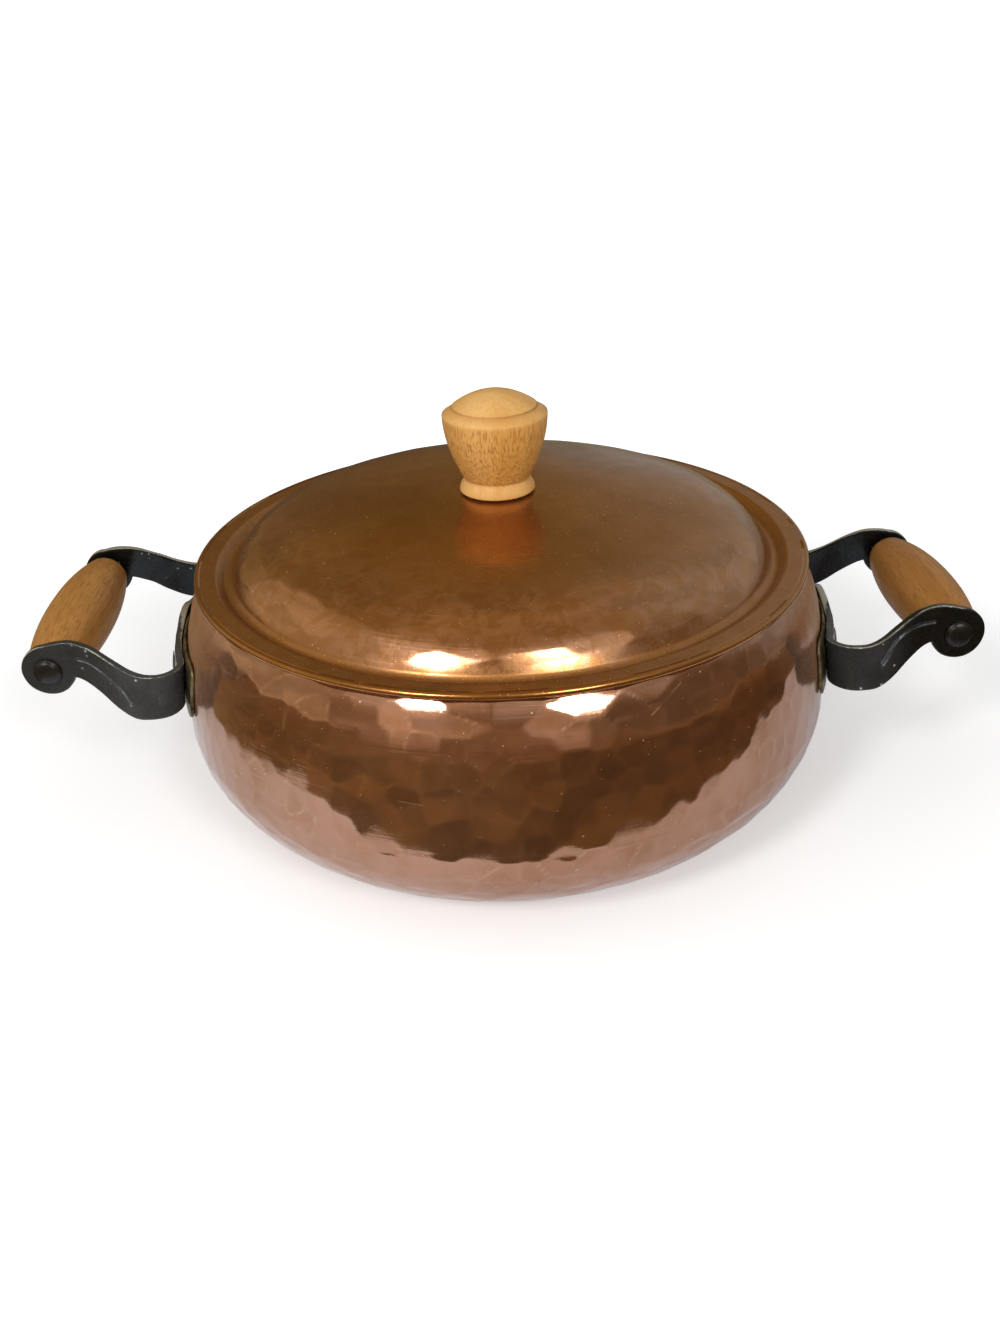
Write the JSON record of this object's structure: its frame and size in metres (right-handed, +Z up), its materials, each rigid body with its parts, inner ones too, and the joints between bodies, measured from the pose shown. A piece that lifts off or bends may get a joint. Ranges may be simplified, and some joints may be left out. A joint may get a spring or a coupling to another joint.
{
  "type": "casserole pot",
  "caption": "Hammered copper casserole pot with a domed lift-off lid, a turned wooden knob, and side handles of bent iron strap with spinning wooden bar grips.",
  "frame": {"origin": "centre of the flat base, on the surface that the pot stands on", "axes": "+Z up; the two handles stand on +X and -X; the pictured front faces -Y"},
  "size_m": [0.3374, 0.2368, 0.1506],
  "materials": {
    "copper": "hammered and aged, semi-bright",
    "iron": "satin black, worn on the edges",
    "plate_brass": "dull olive brass",
    "steel": "plain",
    "pale_wood": "oiled, fine pores",
    "brown_wood": "oiled, lengthwise grain"
  },
  "bodies": {
    "pot": {"pot_body": "copper", "left_bracket": "iron", "left_mount_plate": "plate_brass", "left_rivet_1": "iron", "left_rivet_2": "iron", "left_rivet_3": "iron", "left_grip_rod": "iron", "right_bracket": "iron", "right_mount_plate": "plate_brass", "right_rivet_1": "iron", "right_rivet_2": "iron", "right_rivet_3": "iron", "right_grip_rod": "iron"},
    "lid_set": {"lid": "copper", "knob": "pale_wood", "knob_screw": "steel", "knob_washer": "steel"},
    "left_grip_turning": {"left_grip": "brown_wood"},
    "right_grip_turning": {"right_grip": "brown_wood"}
  },
  "joints": [
    {"name": "lid_lift", "type": "slide", "parent": "pot", "child": "lid_set", "axis": [0, 0, 1], "range_m": [0, 0.15]},
    {"name": "left_grip_spin", "type": "hinge", "parent": "pot", "child": "left_grip_turning", "pos_m": [-0.1573, 0, 0.0712], "axis": [0, 1, 0], "continuous": true},
    {"name": "right_grip_spin", "type": "hinge", "parent": "pot", "child": "right_grip_turning", "pos_m": [0.1563, 0, 0.0676], "axis": [0, 0.9976, -0.0698], "continuous": true}
  ]
}
